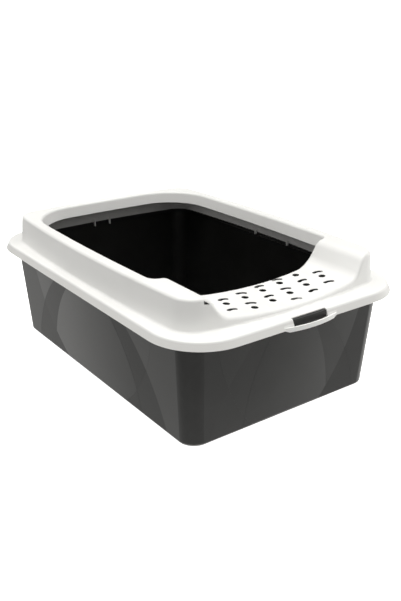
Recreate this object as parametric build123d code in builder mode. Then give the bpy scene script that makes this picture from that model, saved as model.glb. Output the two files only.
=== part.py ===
from build123d import *
import math
import os

# Open litter tray: a deep tub and a raised rim frame that clips over it, with a low entry step
# in the frame's front. Millimetres, +Z up, +Y along the length with the entry at -Y. The origin
# is at the centre of the tub's underside.

# Tub
tub_top_half_width = 172.4
tub_top_half_length = 253.6
tub_top_corner = 28.0
tub_height = 158.8
tub_side_draft = 10.6
tub_end_draft = 9.9
tub_base_corner = 24.0
tub_wall = 2.4
tub_floor = 2.6
tub_base_round = 5.0
tub_inside_round = 7.0
tub_rim_thickness = 2.4
tub_rim_drop = 6.0
tub_rim_wall = 1.8

# Upstand on the tub's rim, just inside the foot of the collar
upstand_height = 3.5
upstand_thickness = 1.6
upstand_clearance = 0.6

# Collar of the rim frame, outside the tub's wall
frame_wall = 2.2
collar_side_overhang = 6.3
collar_front_overhang = 5.0
collar_back_setback = 0.8
collar_corner = 34.0
collar_side_bow = 11.5
collar_front_bow = 17.0
collar_back_bow = 10.0
collar_draft = 5.2
collar_height = 42.2
collar_round = 4.5

# Flange around the collar, and the flared skirt that hangs from it
flange_side_width = 17.6
flange_end_width = 25.5
flange_round = 3.0
flange_plinth_round = 3.0
skirt_corner = 77.0
skirt_drop = 8.5
skirt_flare = 25.0
skirt_clearance = 0.5

# Opening inside the collar, and the lip that hangs from it
opening_side_inset = 26.9
opening_back_inset = 25.4
opening_bow = 6.8
opening_back_bow = 5.0
opening_back_corner = 74.0
opening_front_corner = 10.0
lip_depth = 18.3
lip_slope = 15.5
opening_round = 4.5

# Entry step in the frame's front, with a floor that sags towards the middle
step_rise = 6.1
step_sag = 6.3
step_length = 90.0
step_shoulder_length = 93.8
step_side_length = 105.2
step_bend_width = 27.4
step_bend_round = 40.0
step_side_inset = 65.3
step_hem = 5.0
entry_slope = 33.0
entry_foot_round = 22.0
entry_top_round = 18.0

# Drain holes in the step: leaning columns of crescents and round holes in turn
drain_diameter = 9.8
drain_side_distance = 41.0
drain_front_distance = 66.3
drain_column_pitch = 36.4
drain_column_shift = 7.0
drain_column_lean = 20.1
drain_pitch = 37.3
drain_round_offset = 16.5
drain_edge_margin = 5.5
drain_floor = 0.9
drain_pocket_edge = 9.0
drain_rows = ((0, 3), (0, 4), (0, 4), (0, 5), (1, 5), (2, 5))
crescent_radius = 11.0
crescent_sweep = 58.0
crescent_width = 5.8
crescent_turns = (0.0, -18.0)

# Catch at the front: a tongue on the tub in a window of the skirt, over a curved pull tab
window_half_width = 29.0
window_depth = 8.3
tongue_reach = 3.6
tongue_drop = 1.0
tongue_clearance = 0.8
tab_half_width = 46.0
tab_bulge = 6.5
tab_thickness = 2.2
tab_rise = 3.0
tab_drop = 3.0
tab_end_run = 8.0

# Short ribs at the foot of the collar's inside, that hook over the upstand
rib_thickness = 1.6
rib_depth = 8.0
rib_rise = 7.3
rib_clearance = 0.4
back_rib_drop = 3.4
back_rib_places = (-20.7, 9.4)
side_rib_places = (-48.1, 31.4)

# Notch in the collar's front, beside the entry
notch_gap = 26.0
notch_width = 8.0
notch_height = 5.5
notch_below_top = 3.4

# Relief on the tub's sides: half widths of three arcs at the top, the middle and the foot
side_panel = (29.5, 103.0, 130.5)
side_lens = (68.5, 152.5, 193.0)
side_cross = (175.5, 153.0, 83.0)
end_panel = (23.0, 61.5, 75.5)
end_lens = (41.0, 101.0, 130.5)
end_cross = (126.5, 107.0, 58.5)
lens_depth = 0.08
cross_depth = 0.06

# Worked out from the above
tub_base_half_width = tub_top_half_width - tub_side_draft
tub_base_half_length = tub_top_half_length - tub_end_draft
seat = tub_height
relief_top = seat - tub_rim_drop
relief_middle = seat / 2
flange_top = seat + frame_wall
collar_half_width = tub_top_half_width + collar_side_overhang
collar_front = tub_top_half_length + collar_front_overhang
collar_back = tub_top_half_length - collar_back_setback
collar_top = flange_top + collar_height
upstand_top = seat + upstand_height
upstand_inset = frame_wall + upstand_clearance
above = collar_top + 20.0
back_wall = collar_back - frame_wall / 2
side_wall = collar_half_width - frame_wall / 2
skirt_bottom = seat - skirt_drop
skirt_half_width = collar_half_width + flange_side_width
skirt_half_length = collar_front + flange_end_width
skirt_run = math.tan(math.radians(skirt_flare))
skirt_inset = frame_wall / math.cos(math.radians(skirt_flare))
rim_inset = skirt_inset + skirt_drop * skirt_run + skirt_clearance
rim_half_width = skirt_half_width - rim_inset
rim_half_length = skirt_half_length - rim_inset
rim_corner = skirt_corner - rim_inset
opening_half_width = collar_half_width - opening_side_inset
opening_back = collar_back - opening_back_inset
lip_bottom = collar_top - lip_depth
lip_run = math.tan(math.radians(lip_slope))
step_top = flange_top + step_rise
step_half_width = collar_half_width - step_side_inset
step_shoulder_half_width = step_half_width - step_bend_width
step_edge_middle = collar_front - step_length
step_edge_shoulder = collar_front - step_shoulder_length
step_edge_side = collar_front - step_side_length
entry_inner = step_edge_side - 2 * opening_front_corner
drain_start_x = -(step_half_width - drain_side_distance)
drain_start_y = -(collar_front - drain_front_distance)
window_bottom = flange_top - window_depth
notch_x = -(step_half_width + notch_gap)
notch_top = collar_top - notch_below_top


def collar_outline(inset=0.0):
    """Outline of the collar's foot, moved inwards: four bowed sides with rounded corners."""
    half_x, front, back = collar_half_width - inset, collar_front - inset, collar_back - inset
    x, front_y, back_y = half_x - collar_side_bow, front - collar_front_bow, back - collar_back_bow
    with BuildSketch() as outline:
        with BuildLine():
            ThreePointArc((x, -front_y), (half_x, 0), (x, back_y))
            ThreePointArc((x, back_y), (0, back), (-x, back_y))
            ThreePointArc((-x, back_y), (-half_x, 0), (-x, -front_y))
            ThreePointArc((-x, -front_y), (0, -front), (x, -front_y))
        make_face()
        fillet(outline.vertices(), collar_corner - inset)
    return outline.sketch


def opening_outline(grow=0.0, front_grow=0.0):
    """Outline of the opening, with the bent edge of the step in front, grown by a margin."""
    half_x, back = opening_half_width + grow, opening_back + grow
    side, shoulder = step_edge_side + front_grow, step_edge_shoulder + front_grow
    middle = step_edge_middle + front_grow
    back_x, back_y = half_x - opening_bow, back - opening_back_bow
    front_x = half_x - opening_bow * (side / back) ** 2
    with BuildSketch() as outline:
        with BuildLine():
            ThreePointArc((front_x, -side), (half_x, 0), (back_x, back_y))
            ThreePointArc((back_x, back_y), (0, back), (-back_x, back_y))
            ThreePointArc((-back_x, back_y), (-half_x, 0), (-front_x, -side))
            Polyline(
                (-front_x, -side), (-step_half_width, -side), (-step_shoulder_half_width, -shoulder)
            )
            ThreePointArc(
                (-step_shoulder_half_width, -shoulder), (0, -middle),
                (step_shoulder_half_width, -shoulder),
            )
            Polyline(
                (step_shoulder_half_width, -shoulder), (step_half_width, -side), (front_x, -side)
            )
        make_face()
        fillet(outline.vertices().group_by(Axis.Y)[-1], opening_back_corner + grow)
        front = outline.vertices().filter_by(lambda vertex: vertex.Y < 0)
        fillet(front.filter_by(lambda vertex: abs(vertex.X) > front_x - 1), opening_front_corner + grow)
        bends = outline.vertices().filter_by(
            lambda vertex: vertex.Y < 0 and abs(vertex.X) < step_half_width + 1
        )
        fillet(bends, step_bend_round)
    return outline.sketch


def entry_outline(grow=0.0):
    """Cross-section of the dip in the collar's front, open at the top, grown by a margin."""
    lean = math.radians(entry_slope)
    foot_x = step_half_width + grow * (1 / math.cos(lean) - math.tan(lean))
    foot_z = step_top + step_sag - grow
    mouth_x = foot_x + (above - foot_z) * math.tan(lean)
    with BuildSketch() as outline:
        with BuildLine():
            ThreePointArc((-foot_x, foot_z), (0, step_top - grow), (foot_x, foot_z))
            Polyline((foot_x, foot_z), (mouth_x, above), (-mouth_x, above), (-foot_x, foot_z))
        make_face()
        feet = outline.vertices().filter_by(lambda vertex: vertex.Y < foot_z + 1)
        fillet(feet, entry_foot_round + grow)
    return outline.sketch


def is_outer(edge):
    """Whether an edge lies on the collar's outside, away from its opening."""
    margin = 0.5 * (collar_half_width - opening_half_width - lip_depth * lip_run)
    beside = opening_half_width + lip_depth * lip_run + 0.3 * margin
    beyond = opening_back + lip_depth * lip_run + 0.3 * margin
    return abs(edge.center().X) > beside or abs(edge.center().Y) > beyond


def is_crest(edge):
    """Whether an edge runs along the collar's top or the entry, and isn't a seam in a wall."""
    run = edge.tangent_at(0.5)
    is_seam = edge.geom_type == GeomType.LINE and max(abs(run.Y), abs(run.Z)) > 0.9
    middle = edge.center().Z
    return middle > flange_top + 1 and abs(middle - lip_bottom) > 0.1 and not is_seam


def arched_outline(half_widths, top, middle):
    """Area between two mirrored arcs, given by its half widths at the top, the middle and the foot."""
    with BuildSketch() as outline:
        with BuildLine():
            ThreePointArc((half_widths[0], top), (half_widths[1], middle), (half_widths[2], 0))
            Line((half_widths[2], 0), (0, 0))
            Line((0, 0), (0, top))
            Line((0, top), (half_widths[0], top))
        make_face()
        mirror(about=Plane.YZ)
    return outline.sketch


def tub_outline(level, inset=0.0):
    """Outline of the tub's drafted wall at a height, moved inwards."""
    share = level / tub_height
    half_x = tub_base_half_width + (tub_top_half_width - tub_base_half_width) * share - inset
    half_y = tub_base_half_length + (tub_top_half_length - tub_base_half_length) * share - inset
    corner = tub_base_corner + (tub_top_corner - tub_base_corner) * share - inset
    with BuildSketch() as outline:
        RectangleRounded(2 * half_x, 2 * half_y, corner)
    return outline.sketch


# Space inside the tub
with BuildPart() as tub_space:
    for level in (tub_floor, seat):
        with BuildSketch(Plane.XY.offset(level)):
            add(tub_outline(level, tub_wall))
    loft(ruled=True)
    fillet(tub_space.faces().sort_by(Axis.Z)[0].edges(), tub_inside_round)

# Tub: drafted walls, floor, an outward rim with a turned-down edge, and the catch tongue
with BuildPart() as tub:
    for level in (0, seat):
        with BuildSketch(Plane.XY.offset(level)):
            add(tub_outline(level))
    loft(ruled=True)
    fillet(tub.faces().sort_by(Axis.Z)[0].edges(), tub_base_round)
    for half_width, half_length, top_half_width, panel, lens, cross, turn in (
        (tub_base_half_width, tub_base_half_length, tub_top_half_width, side_panel, side_lens,
         side_cross, 0),
        (tub_base_half_length, tub_base_half_width, tub_top_half_length, end_panel, end_lens,
         end_cross, 90),
    ):
        lean = math.atan((top_half_width - half_width) / tub_height)
        reach = relief_top / math.cos(lean)
        middle = relief_middle / math.cos(lean)
        with BuildSketch() as lens_band:
            add(arched_outline(lens, reach, middle))
            add(arched_outline(panel, reach, middle), mode=Mode.SUBTRACT)
        with BuildSketch() as cross_band:
            Rectangle(2 * half_length, reach, align=(Align.CENTER, Align.MIN))
            add(arched_outline(cross, reach, middle), mode=Mode.SUBTRACT)
        for side in (0, 180):
            normal = Vector(math.cos(lean), 0, -math.sin(lean)).rotate(Axis.Z, turn + side)
            foot = Vector(half_width, 0, 0).rotate(Axis.Z, turn + side)
            wall = Plane(origin=foot, x_dir=Vector(0, 1, 0).rotate(Axis.Z, turn + side), z_dir=normal)
            with BuildSketch(wall):
                add(lens_band.sketch)
            extrude(amount=-lens_depth, mode=Mode.SUBTRACT)
            with BuildSketch(wall):
                add(cross_band.sketch)
            extrude(amount=-cross_depth, mode=Mode.SUBTRACT)
            with BuildSketch(wall):
                add(cross_band.sketch)
                add(lens_band.sketch, mode=Mode.INTERSECT)
            extrude(amount=-lens_depth - cross_depth, mode=Mode.SUBTRACT)
    with BuildSketch(Plane.XY.offset(seat)):
        RectangleRounded(2 * rim_half_width, 2 * rim_half_length, rim_corner)
    extrude(amount=-tub_rim_thickness)
    with BuildSketch(Plane.XY.offset(seat)):
        RectangleRounded(2 * rim_half_width, 2 * rim_half_length, rim_corner)
        offset(amount=-tub_rim_wall, mode=Mode.SUBTRACT)
    extrude(amount=-tub_rim_drop)
    with Locations((0, -rim_half_length - tongue_reach, flange_top - tongue_clearance)):
        Box(
            2 * (window_half_width - tongue_clearance),
            tongue_reach + tub_rim_wall - tongue_clearance,
            flange_top - tongue_clearance - skirt_bottom + tongue_drop,
            align=(Align.CENTER, Align.MIN, Align.MAX),
        )
    add(tub_space.part, mode=Mode.SUBTRACT)
    with BuildSketch(Plane.XY.offset(seat)):
        add(tub_outline(seat, tub_wall / 2))
        add(collar_outline(upstand_inset + upstand_thickness), mode=Mode.SUBTRACT)
    extrude(amount=-tub_rim_thickness)
    with BuildSketch(Plane.XY.offset(upstand_top)):
        add(collar_outline(upstand_inset))
        add(collar_outline(upstand_inset + upstand_thickness), mode=Mode.SUBTRACT)
    extrude(amount=-upstand_height - tub_rim_thickness)

# Space inside the collar, under its top, its lip and the entry step
with BuildPart() as hollow:
    with BuildSketch(Plane.XY.offset(seat)):
        add(collar_outline(frame_wall))
    extrude(amount=collar_top - frame_wall - seat, taper=collar_draft)
    extrude(hollow.faces().sort_by(Axis.Z)[0], amount=frame_wall)
    with BuildSketch(Plane.XZ.offset(entry_inner)):
        add(entry_outline(frame_wall))
    extrude(amount=skirt_half_length - entry_inner, mode=Mode.SUBTRACT)
    fillet(hollow.edges().filter_by(Axis.Y).group_by(Axis.Z)[-1], entry_top_round - frame_wall)
    with BuildSketch(Plane.XZ.offset(step_edge_shoulder)):
        add(entry_outline(frame_wall))
        add(entry_outline(drain_floor), mode=Mode.SUBTRACT)
        Rectangle(2 * (step_half_width - drain_pocket_edge), 4 * step_top, mode=Mode.INTERSECT)
    extrude(amount=step_length - 2 * drain_pocket_edge)
    for level, grow in ((lip_bottom, 0), (above, (above - lip_bottom) * lip_run)):
        with BuildSketch(Plane.XY.offset(level)):
            add(opening_outline(frame_wall + grow, frame_wall))
    loft(ruled=True, mode=Mode.SUBTRACT)
    with BuildSketch(Plane.XY.offset(step_top - step_hem)):
        add(opening_outline(frame_wall, frame_wall))
        with Locations((0, -entry_inner)):
            Rectangle(
                2 * step_half_width, step_edge_middle, align=(Align.CENTER, Align.MAX),
                mode=Mode.INTERSECT,
            )
    extrude(amount=step_hem + step_sag, mode=Mode.SUBTRACT)

# Space over the tub: straight up to the lip's edge, then widening to the collar's top
with BuildPart() as opening:
    with BuildSketch(Plane.XY.offset(lip_bottom)):
        add(opening_outline())
    extrude(amount=skirt_bottom - lip_bottom)
    for level, grow in ((lip_bottom, 0), (above, (above - lip_bottom) * lip_run)):
        with BuildSketch(Plane.XY.offset(level)):
            add(opening_outline(grow))
    loft(ruled=True)

# Pull tab: a curved wall that bulges out under the window, with sloping ends
with BuildPart() as tab:
    with BuildSketch(Plane.XY.offset(skirt_bottom - tab_drop)):
        with BuildLine():
            root = skirt_half_length - tab_thickness / 2
            ThreePointArc((-tab_half_width, -root), (0, -root - tab_bulge), (tab_half_width, -root))
            Line((tab_half_width, -root), (tab_half_width, -root + tab_thickness))
            ThreePointArc(
                (tab_half_width, -root + tab_thickness), (0, -root - tab_bulge + tab_thickness),
                (-tab_half_width, -root + tab_thickness),
            )
            Line((-tab_half_width, -root + tab_thickness), (-tab_half_width, -root))
        make_face()
    extrude(amount=tab_drop + tab_rise)
    with BuildSketch(Plane.XZ.offset(skirt_half_length - tab_bulge)):
        with BuildLine():
            Polyline(
                (-tab_half_width + tab_end_run, skirt_bottom - tab_drop),
                (tab_half_width - tab_end_run, skirt_bottom - tab_drop),
                (tab_half_width, skirt_bottom), (tab_half_width, skirt_bottom + tab_rise),
                (-tab_half_width, skirt_bottom + tab_rise), (-tab_half_width, skirt_bottom),
                close=True,
            )
        make_face()
    extrude(amount=3 * tab_bulge, mode=Mode.INTERSECT)

# Ribs inside the collar, cut back from its foot and from the upstand
with BuildPart() as ribs:
    with Locations(*((x, back_wall, seat + rib_rise) for x in back_rib_places)):
        Box(
            rib_thickness, rib_depth, rib_rise + back_rib_drop,
            align=(Align.CENTER, Align.MAX, Align.MAX),
        )
    for side in (-1, 1):
        for y in side_rib_places:
            with Locations((side * (side_wall - rib_depth / 2), y, seat + rib_rise)):
                Box(
                    rib_depth, rib_thickness, rib_rise - rib_clearance,
                    align=(Align.CENTER, Align.CENTER, Align.MAX),
                )
    with BuildSketch(Plane.XY.offset(upstand_top + rib_clearance)):
        add(collar_outline())
        add(
            collar_outline(upstand_inset + upstand_thickness + rib_clearance), mode=Mode.SUBTRACT,
        )
    extrude(amount=-upstand_height - back_rib_drop - 2 * rib_clearance, mode=Mode.SUBTRACT)

# Crescent-shaped drain hole, open towards the front
with BuildSketch() as crescent:
    with BuildLine() as crescent_line:
        CenterArc((0, -crescent_radius), crescent_radius, 90 - crescent_sweep / 2, crescent_sweep)
    SlotArc(crescent_line.edge(), crescent_width)

# Rim frame: flange and skirt, collar, entry and opening, then the catch, ribs and drain holes
with BuildPart() as rim_frame:
    with BuildSketch(Plane.XY.offset(skirt_bottom)):
        RectangleRounded(2 * skirt_half_width, 2 * skirt_half_length, skirt_corner)
    extrude(amount=flange_top - skirt_bottom, taper=skirt_flare)
    fillet(rim_frame.faces().sort_by(Axis.Z)[-1].edges(), flange_round)
    with BuildSketch(Plane.XY.offset(flange_top)):
        add(collar_outline())
    extrude(amount=collar_height, taper=collar_draft)
    flange_face = rim_frame.faces().filter_by(Axis.Z).sort_by(Axis.Z)[-2]
    fillet(flange_face.inner_wires()[0].edges(), flange_plinth_round)
    with BuildSketch(Plane.XZ.offset(entry_inner)):
        add(entry_outline())
    extrude(amount=skirt_half_length - entry_inner, mode=Mode.SUBTRACT)
    fillet(rim_frame.edges().filter_by(Axis.Y).group_by(Axis.Z)[-1], entry_top_round)
    add(opening.part, mode=Mode.SUBTRACT)
    fillet(rim_frame.edges().filter_by(is_crest).filter_by(is_outer), collar_round)
    fillet(rim_frame.edges().filter_by(is_crest).filter_by(is_outer, reverse=True), opening_round)
    with BuildSketch(Plane.XY.offset(skirt_bottom)):
        RectangleRounded(
            2 * (skirt_half_width - skirt_inset), 2 * (skirt_half_length - skirt_inset),
            skirt_corner - skirt_inset,
        )
    extrude(amount=skirt_drop, taper=skirt_flare, mode=Mode.SUBTRACT)
    add(hollow.part, mode=Mode.SUBTRACT)
    with Locations((0, -rim_half_length + tub_rim_wall, flange_top + frame_wall)):
        Box(
            2 * window_half_width, tub_rim_wall + rim_inset + frame_wall,
            2 * frame_wall + skirt_drop + tab_drop,
            align=(Align.CENTER, Align.MAX, Align.MAX), mode=Mode.SUBTRACT,
        )
    add(tab.part)
    add(ribs.part)
    with BuildSketch(Plane.XZ.offset(entry_inner)):
        with BuildLine():
            Polyline(
                (notch_x, notch_top), (notch_x, notch_top - notch_height),
                (notch_x + notch_width, notch_top - notch_height), close=True,
            )
        make_face()
    extrude(amount=skirt_half_length - entry_inner, mode=Mode.SUBTRACT)
    with BuildSketch(Plane.XY.offset(step_top + step_sag)):
        lean = math.radians(drain_column_lean)
        for column, (first, last) in enumerate(drain_rows):
            for row in range(first, last):
                run = (row // 2) * drain_pitch + (row % 2) * drain_round_offset
                x = drain_start_x + column * drain_column_pitch - run * math.sin(lean)
                y = drain_start_y + column * drain_column_shift - run * math.cos(lean)
                y = min(y, -step_edge_middle - drain_edge_margin)
                if row % 2:
                    with Locations((x, y)):
                        Circle(drain_diameter / 2)
                else:
                    with Locations(Location((x, y), crescent_turns[column % 2])):
                        add(crescent.sketch)
    extrude(amount=-step_sag - 2 * frame_wall, mode=Mode.SUBTRACT)

tub.part.label = "tub"
export_step(tub.part, "parts/tub.step")
rim_frame.part.label = "rim_frame"
export_step(rim_frame.part, "parts/rim_frame.step")
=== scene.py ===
import math

import bmesh
import bpy
from mathutils import Matrix, Vector

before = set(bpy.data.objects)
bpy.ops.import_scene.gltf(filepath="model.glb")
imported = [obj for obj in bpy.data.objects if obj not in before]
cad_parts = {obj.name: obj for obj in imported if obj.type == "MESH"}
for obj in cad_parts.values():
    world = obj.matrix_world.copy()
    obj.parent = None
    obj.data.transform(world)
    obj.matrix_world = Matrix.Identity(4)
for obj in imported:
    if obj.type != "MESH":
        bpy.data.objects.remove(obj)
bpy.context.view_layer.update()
scene = bpy.context.scene
print("packed tray loaded")


# Links a signal to a node's socket, or sets the socket to a plain value
def feed(socket, value):
    if isinstance(value, Signal):
        value.tree.links.new(value.socket, socket)
    else:
        socket.default_value = value


# A wrapped socket: Python operators add the Math nodes
class Signal:
    def __init__(self, tree, socket):
        self.tree = tree
        self.socket = socket

    def calculate(self, operation, *values, clamp=False):
        node = self.tree.nodes.new("ShaderNodeMath")
        node.operation = operation
        node.use_clamp = clamp
        for socket, value in zip(node.inputs, values):
            feed(socket, value)
        return Signal(self.tree, node.outputs[0])

    def __add__(self, other):
        return self.calculate("ADD", self, other)

    def __radd__(self, other):
        return self.calculate("ADD", other, self)

    def __sub__(self, other):
        return self.calculate("SUBTRACT", self, other)

    def __rsub__(self, other):
        return self.calculate("SUBTRACT", other, self)

    def __mul__(self, other):
        return self.calculate("MULTIPLY", self, other)

    def __rmul__(self, other):
        return self.calculate("MULTIPLY", other, self)

    def __truediv__(self, other):
        return self.calculate("DIVIDE", self, other)

    def __pow__(self, other):
        return self.calculate("POWER", self, other)

    def __abs__(self):
        return self.calculate("ABSOLUTE", self)

    def __gt__(self, other):
        return self.calculate("GREATER_THAN", self, other)

    def __lt__(self, other):
        return self.calculate("LESS_THAN", self, other)

    def clamped(self):
        return self.calculate("ADD", self, 0.0, clamp=True)

    def exponential(self):
        return self.calculate("EXPONENT", self)


# The node tree of a material or of the surround, under construction
class Finish:
    def __init__(self, owner):
        owner.use_nodes = True
        self.owner = owner
        self.tree = owner.node_tree
        self.tree.nodes.clear()

    def add(self, kind, settings=None, sockets=None, output=0):
        node = self.tree.nodes.new("ShaderNode" + kind)
        for name, value in (settings or {}).items():
            setattr(node, name, value)
        for name, value in (sockets or {}).items():
            feed(node.inputs[name], value)
        return Signal(self.tree, node.outputs[output]) if node.outputs else None

    def place(self):
        return self.add("TexCoord", output="Object")

    def facing(self):
        return self.add("TexCoord", output="Normal")

    def split(self, vector):
        first = self.add("SeparateXYZ", sockets={"Vector": vector})
        return [Signal(self.tree, output) for output in first.socket.node.outputs]

    def noise(self, where, scale, detail, roughness=0.5, stretch=None):
        if stretch:
            where = self.add("Mapping", sockets={"Vector": where, "Scale": stretch})
        sockets = {"Vector": where, "Scale": scale, "Detail": detail, "Roughness": roughness}
        return self.add("TexNoise", sockets=sockets)

    # Eased from 0 at low to 1 at high
    def eased(self, value, low, high):
        settings = {"interpolation_type": "SMOOTHSTEP"}
        sockets = {"Value": value, "From Min": low, "From Max": high}
        return self.add("MapRange", settings, sockets)

    def mixed(self, factor, first, second):
        settings = {"data_type": "RGBA", "blend_type": "MIX"}
        return self.add("Mix", settings, {0: factor, 6: first, 7: second}, output=2)

    def close(self, sockets):
        shader = self.add("BsdfPrincipled", sockets=sockets)
        self.add("OutputMaterial", sockets={"Surface": shader})
        return self.owner


# Moulded grain and soft mottling, which both plastics have: gives the signals of the grain and of
# the mottling, the colour and the roughness
def mottled(finish, where, settings):
    speck = finish.noise(where, **settings["grain"])
    cloud = finish.noise(where, **settings["cloud"])
    shade = finish.eased(cloud, *settings["cloudSpan"])
    colour = finish.mixed(shade, settings["dark"], settings["light"])
    roughness = settings["roughness"] + (cloud - 0.5) * settings["cloudRoughness"]
    return speck, cloud, colour, roughness + (speck - 0.5) * settings["grainRoughness"]


def wear(node, material):
    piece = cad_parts[node]
    for slot in piece.material_slots:
        slot.material = material
    return piece


# Tub: dark satin plastic. The arcs give half widths at the three arc heights, and divide each wall
# into shallow fields that differ in gloss
tubFinish = {
    "dark": (0.0065, 0.0065, 0.0062, 1.0),
    "light": (0.0105, 0.0105, 0.0101, 1.0),
    "roughness": 0.36,
    "gloss": 0.265,
    "coat": 0.51,
    "coatRoughness": 0.32,
    "cloud": {"scale": 14.0, "detail": 3.0},
    "cloudSpan": (0.3, 0.7),
    "cloudRoughness": 0.06,
    "cloudCoat": 0.12,
    "grain": {"scale": 2600.0, "detail": 2.0},
    "grainRoughness": 0.05,
    "grainStrength": 0.4,
    "grainDepth": 0.00003,
    "scratches": {"scale": 60.0, "detail": 3.0, "stretch": (1.0, 1.0, 9.0)},
    "scratchSpan": (0.56, 0.7),
    "scratchRoughness": 0.02,
    "footRoughness": 0.12,
    "footHeight": 0.02,
    "wallFacing": (0.7, 0.99),
    "arcHeights": (0.1528, 0.0794, 0.0),
    "edgeSoftness": 0.0006,
    "side": {
        "arcs": {
            "panel": (0.0295, 0.103, 0.1305),
            "lens": (0.0685, 0.1525, 0.193),
            "cross": (0.1755, 0.153, 0.083),
        },
        "gloss": {"panel": 0.14, "strip": -0.62, "triangle": 0.25, "lower": -0.62, "outer": -0.05},
        "swell": {"panel": 1.3, "strip": 0.25, "triangle": 0.35, "lower": 0.1, "outer": 0.0},
    },
    "end": {
        "arcs": {
            "panel": (0.023, 0.0615, 0.0755),
            "lens": (0.041, 0.101, 0.1305),
            "cross": (0.1265, 0.107, 0.0585),
        },
        "gloss": {"panel": 0.12, "strip": -0.04, "triangle": 0.1, "lower": -0.24, "outer": -0.26},
        "swell": {"panel": 1.4, "strip": 0.3, "triangle": 0.3, "lower": -0.35, "outer": -0.25},
    },
}


# Centre and radius of the circle through an arc's three points, worked out as complex numbers
def arcCircle(widths, heights):
    top, middle, foot = map(complex, widths, heights)
    bend = (foot - top) / (middle - top)
    centre = top + (middle - top) * (bend - abs(bend) ** 2) / (2j * bend.imag)
    return centre.real, centre.imag, abs(centre - top)


# 1 inside an arc's circle, 0 outside it
def insideArc(along, height, circle, softness):
    centreAlong, centreHeight, radius = circle
    distance = ((along - centreAlong) ** 2.0 + (height - centreHeight) ** 2.0) ** 0.5
    return ((radius - distance) / softness + 0.5).clamped()


# The fields that a wall's three arcs mark off, each 1 inside and 0 outside
def archedFields(wall, along, height, settings):
    inside = {}
    for name, widths in wall["arcs"].items():
        circle = arcCircle(widths, settings["arcHeights"])
        inside[name] = insideArc(along, height, circle, settings["edgeSoftness"])
    fields = {"panel": inside["panel"] * inside["cross"]}
    fields["strip"] = inside["lens"] * inside["cross"] - fields["panel"]
    fields["triangle"] = (1 - inside["lens"]) * inside["cross"]
    fields["lower"] = inside["lens"] * (1 - inside["cross"])
    fields["outer"] = (1 - inside["lens"]) * (1 - inside["cross"])
    return fields


def tubPlastic(settings):
    finish = Finish(bpy.data.materials.new("tubSatin"))
    where = finish.place()
    x, y, z = finish.split(where)
    normal = finish.facing()
    facingX, facingY = finish.split(normal)[:2]
    speck, cloud, colour, roughness = mottled(finish, where, settings)

    # On the outer walls each field has a gloss, and a swell that leans the normal along the wall
    tone, lean = 1.0, {"X": 0.0, "Y": 0.0}
    walls = ((settings["side"], facingX, x, y, "Y"), (settings["end"], facingY, y, x, "X"))
    for wall, facing, outwards, along, axis in walls:
        onWall = finish.eased(abs(facing), *settings["wallFacing"]) * (facing * outwards > 0.0)
        for name, field in archedFields(wall, abs(along), z, settings).items():
            tone = tone + onWall * field * wall["gloss"][name]
            lean[axis] = lean[axis] + onWall * field * along * wall["swell"][name]
    tilt = finish.add("CombineXYZ", sockets=lean)
    leaning = finish.add("VectorMath", {"operation": "ADD"}, {0: normal, 1: tilt})
    leaning = finish.add("VectorMath", {"operation": "NORMALIZE"}, {0: leaning})
    coat = tone * settings["coat"] * ((cloud - 0.5) * settings["cloudCoat"] + 1.0)

    # Fine level scratches, which show most at the foot
    scratches = finish.eased(finish.noise(where, **settings["scratches"]), *settings["scratchSpan"])
    foot = finish.eased(z, settings["footHeight"], 0.0)
    rubbed = scratches * (foot * settings["footRoughness"] + settings["scratchRoughness"])

    bump = finish.add("Bump", sockets={
        "Height": speck, "Strength": settings["grainStrength"], "Distance": settings["grainDepth"],
        "Normal": leaning,
    })
    return finish.close({
        "Base Color": colour, "Roughness": roughness + rubbed, "Normal": bump,
        "Specular IOR Level": settings["gloss"], "Coat Weight": coat.clamped(),
        "Coat Roughness": settings["coatRoughness"],
    })


# Rim frame: warm white satin plastic. A pair of places along (y), across (x) or up (z), or of
# facings, runs from where a shade starts to where it is full
frameFinish = {
    "dark": (0.87, 0.867, 0.855, 1.0),
    "light": (0.905, 0.903, 0.893, 1.0),
    "roughness": 0.42,
    "cloud": {"scale": 9.0, "detail": 3.0},
    "cloudSpan": (0.3, 0.7),
    "cloudRoughness": 0.08,
    "grain": {"scale": 2400.0, "detail": 2.0},
    "grainRoughness": 0.06,
    "grainStrength": 0.4,
    "grainDepth": 0.00003,
    "step": {
        "colour": (0.8, 0.79, 0.77, 1.0),
        "amount": 0.25,
        "roughness": 0.12,
        "along": (-0.155, -0.165),
        "across": (0.11, 0.09),
        "up": (0.18, 0.175),
        "bottom": 0.16,
        "scuffs": {"scale": 90.0, "detail": 4.0, "roughness": 0.6, "stretch": (1.0, 0.25, 1.0)},
        "scuffSpan": (0.55, 0.72),
    },
    # painted shade on the skirt below the flange
    "skirt": {
        "colour": (0.72, 0.713, 0.695, 1.0),
        "amount": 0.6,
        "up": (0.1595, 0.1575),
        "tabHalfWidth": 0.0455,
        "tabBack": -0.2815,
    },
    # painted shade on the walls of the drain holes
    "drains": {
        "colour": (0.12, 0.118, 0.114, 1.0),
        "amount": 0.8,
        "front": -0.24,
        "back": -0.171,
        "halfWidth": 0.102,
        "top": 0.173,
        "steepness": 0.6,
    },
    # painted shade inside the hollow collar at its back end
    "hollow": {
        "colour": (0.45, 0.447, 0.44, 1.0),
        "amount": 0.6,
        "along": (0.195, 0.235),
        "facing": (0.3, -0.4),
        "top": 0.1846,
    },
}


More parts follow.
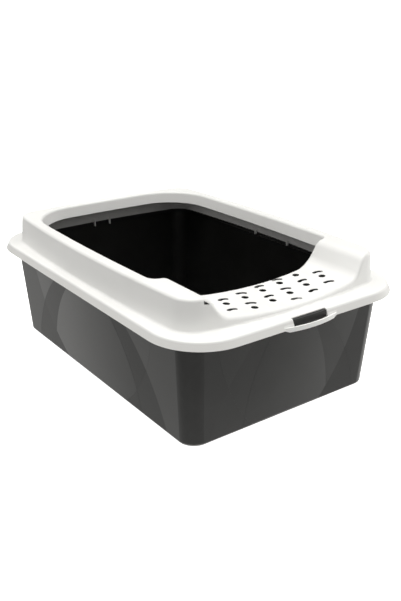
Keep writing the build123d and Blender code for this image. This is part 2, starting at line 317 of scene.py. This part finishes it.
def framePlastic(settings):
    finish = Finish(bpy.data.materials.new("frameSatin"))
    where = finish.place()
    x, y, z = finish.split(where)
    facingY, facingZ = finish.split(finish.facing())[1:]
    speck, cloud, colour, roughness = mottled(finish, where, settings)

    # Scuffs on the step, which run from front to back
    step = settings["step"]
    onStep = finish.eased(y, *step["along"]) * finish.eased(abs(x), *step["across"])
    onStep = onStep * finish.eased(z, *step["up"]) * (z > step["bottom"])
    scuffs = onStep * finish.eased(finish.noise(where, **step["scuffs"]), *step["scuffSpan"])
    colour = finish.mixed(scuffs * step["amount"], colour, step["colour"])

    # Painted shade on the skirt below the flange, but not on the pull tab
    skirt = settings["skirt"]
    onTab = (abs(x) < skirt["tabHalfWidth"]) * (y < skirt["tabBack"])
    paintedSkirtShade = finish.eased(z, *skirt["up"]) * (1 - onTab)
    colour = finish.mixed(paintedSkirtShade * skirt["amount"], colour, skirt["colour"])

    # Painted shade on the steep walls of the drain holes
    drains = settings["drains"]
    paintedDrainShade = (y > drains["front"]) * (y < drains["back"]) * (abs(facingZ) < drains["steepness"])
    paintedDrainShade = paintedDrainShade * (abs(x) < drains["halfWidth"]) * (z < drains["top"])
    colour = finish.mixed(paintedDrainShade * drains["amount"], colour, drains["colour"])

    # Painted shade on the inside of the hollow collar at its back end
    hollow = settings["hollow"]
    paintedHollowShade = finish.eased(y, *hollow["along"]) * (z < hollow["top"])
    paintedHollowShade = paintedHollowShade * finish.eased(facingY, *hollow["facing"])
    colour = finish.mixed(paintedHollowShade * hollow["amount"], colour, hollow["colour"])

    bump = finish.add("Bump", sockets={
        "Height": speck, "Strength": settings["grainStrength"], "Distance": settings["grainDepth"],
    })
    return finish.close({
        "Base Color": colour, "Roughness": roughness + scuffs * step["roughness"], "Normal": bump,
    })


tub = wear("tub", tubPlastic(tubFinish))
rimFrame = wear("rim_frame", framePlastic(frameFinish))
print("finishes made")


# Floor: a wide white disc that glows, with a backdrop ring that stands on its edge
whiteFloor = {
    "radius": 30.0,
    "segments": 96,
    "backdropHeight": 30.0,
    "colour": (0.9, 0.9, 0.9, 1.0),
    "lighter": (0.93, 0.93, 0.93, 1.0),
    "grain": {"scale": 3.0, "detail": 2.0},
    "roughness": 0.9,
    "gloss": 0.1,
    "glowColour": (1.0, 1.0, 1.0, 1.0),
    "glow": 1.0,
}


def floorPaint(settings):
    finish = Finish(bpy.data.materials.new("floorPaint"))
    grain = finish.noise(finish.place(), **settings["grain"])
    return finish.close({
        "Base Color": finish.mixed(grain, settings["colour"], settings["lighter"]),
        "Roughness": settings["roughness"], "Specular IOR Level": settings["gloss"],
        "Emission Color": settings["glowColour"], "Emission Strength": settings["glow"],
    })


def buildFloor(settings):
    mesh = bmesh.new()
    bmesh.ops.create_circle(mesh, cap_ends=True, radius=settings["radius"], segments=settings["segments"])
    rim = [edge for edge in mesh.edges if edge.is_boundary]
    raised = bmesh.ops.extrude_edge_only(mesh, edges=rim)["geom"]
    backdrop = [item for item in raised if isinstance(item, bmesh.types.BMVert)]
    bmesh.ops.translate(mesh, verts=backdrop, vec=(0.0, 0.0, settings["backdropHeight"]))
    data = bpy.data.meshes.new("floor")
    mesh.to_mesh(data)
    mesh.free()
    data.materials.append(floorPaint(settings))
    floor = bpy.data.objects.new("floor", data)
    scene.collection.objects.link(floor)
    floor.visible_diffuse = False  # only the surround lights the tray, from below as well
    floor.visible_glossy = False
    floor.visible_shadow = False


# Surround: even light with soft swells, each of which falls off around its own direction
surroundLight = {
    "even": 0.292,
    "tint": (1.0, 0.995, 0.97, 1.0),
    "swells": {
        "overhead": {"azimuth": -60.0, "elevation": 87.0, "tightness": 7.47, "strength": 4.0},
        "right": {"azimuth": 80.0, "elevation": -8.0, "tightness": 14.0, "strength": 2.5},
        "back": {"azimuth": 193.0, "elevation": -11.0, "tightness": 8.0, "strength": 0.5},
        "under": {"azimuth": 83.0, "elevation": -86.0, "tightness": 6.4, "strength": 3.5},
    },
}


# Unit vector out from the tray, whose azimuth is counted from the entry's end
def aim(azimuth, elevation):
    turn, rise = math.radians(azimuth), math.radians(elevation)
    return Vector((math.sin(turn) * math.cos(rise), -math.cos(turn) * math.cos(rise), math.sin(rise)))


def buildSurround(settings):
    surround = Finish(bpy.data.worlds.new("surround"))
    heading = surround.add("TexCoord", output="Generated")
    glow = settings["even"]
    for swell in settings["swells"].values():
        towards = {0: heading, 1: aim(swell["azimuth"], swell["elevation"])}
        nearness = surround.add("VectorMath", {"operation": "DOT_PRODUCT"}, towards, output="Value")
        falloff = ((nearness - 1.0) * swell["tightness"]).exponential()
        glow = glow + falloff * swell["strength"]
    light = surround.add("Background", sockets={"Color": settings["tint"], "Strength": glow})
    surround.add("OutputWorld", sockets={"Surface": light})
    scene.world = surround.owner


# Camera: stands at a distance from its target, after both slide right and up in the view
view = {
    "azimuth": -36.09,
    "elevation": 22.0,
    "distance": 1.1717,
    "target": (0.0, 0.0, 0.1),
    "right": 0.0264,
    "up": -0.0112,
    "lens": 44.55,
    "sensorWidth": 36.0,
    "nearest": 0.01,
    "farthest": 200.0,
}


def buildCamera(settings):
    back = aim(settings["azimuth"], settings["elevation"])
    right = aim(settings["azimuth"] + 90.0, 0.0)
    up = back.cross(right)
    data = bpy.data.cameras.new("camera")
    data.lens = settings["lens"]
    data.sensor_width = settings["sensorWidth"]
    data.clip_start = settings["nearest"]
    data.clip_end = settings["farthest"]
    camera = bpy.data.objects.new("camera", data)
    scene.collection.objects.link(camera)
    target = Vector(settings["target"]) + right * settings["right"] + up * settings["up"]
    turn = Matrix((right, up, back)).transposed()
    camera.matrix_world = Matrix.Translation(target + back * settings["distance"]) @ turn.to_4x4()
    scene.camera = camera


buildFloor(whiteFloor)
buildSurround(surroundLight)
buildCamera(view)
scene.view_settings.view_transform = "Standard"
print("studio made")
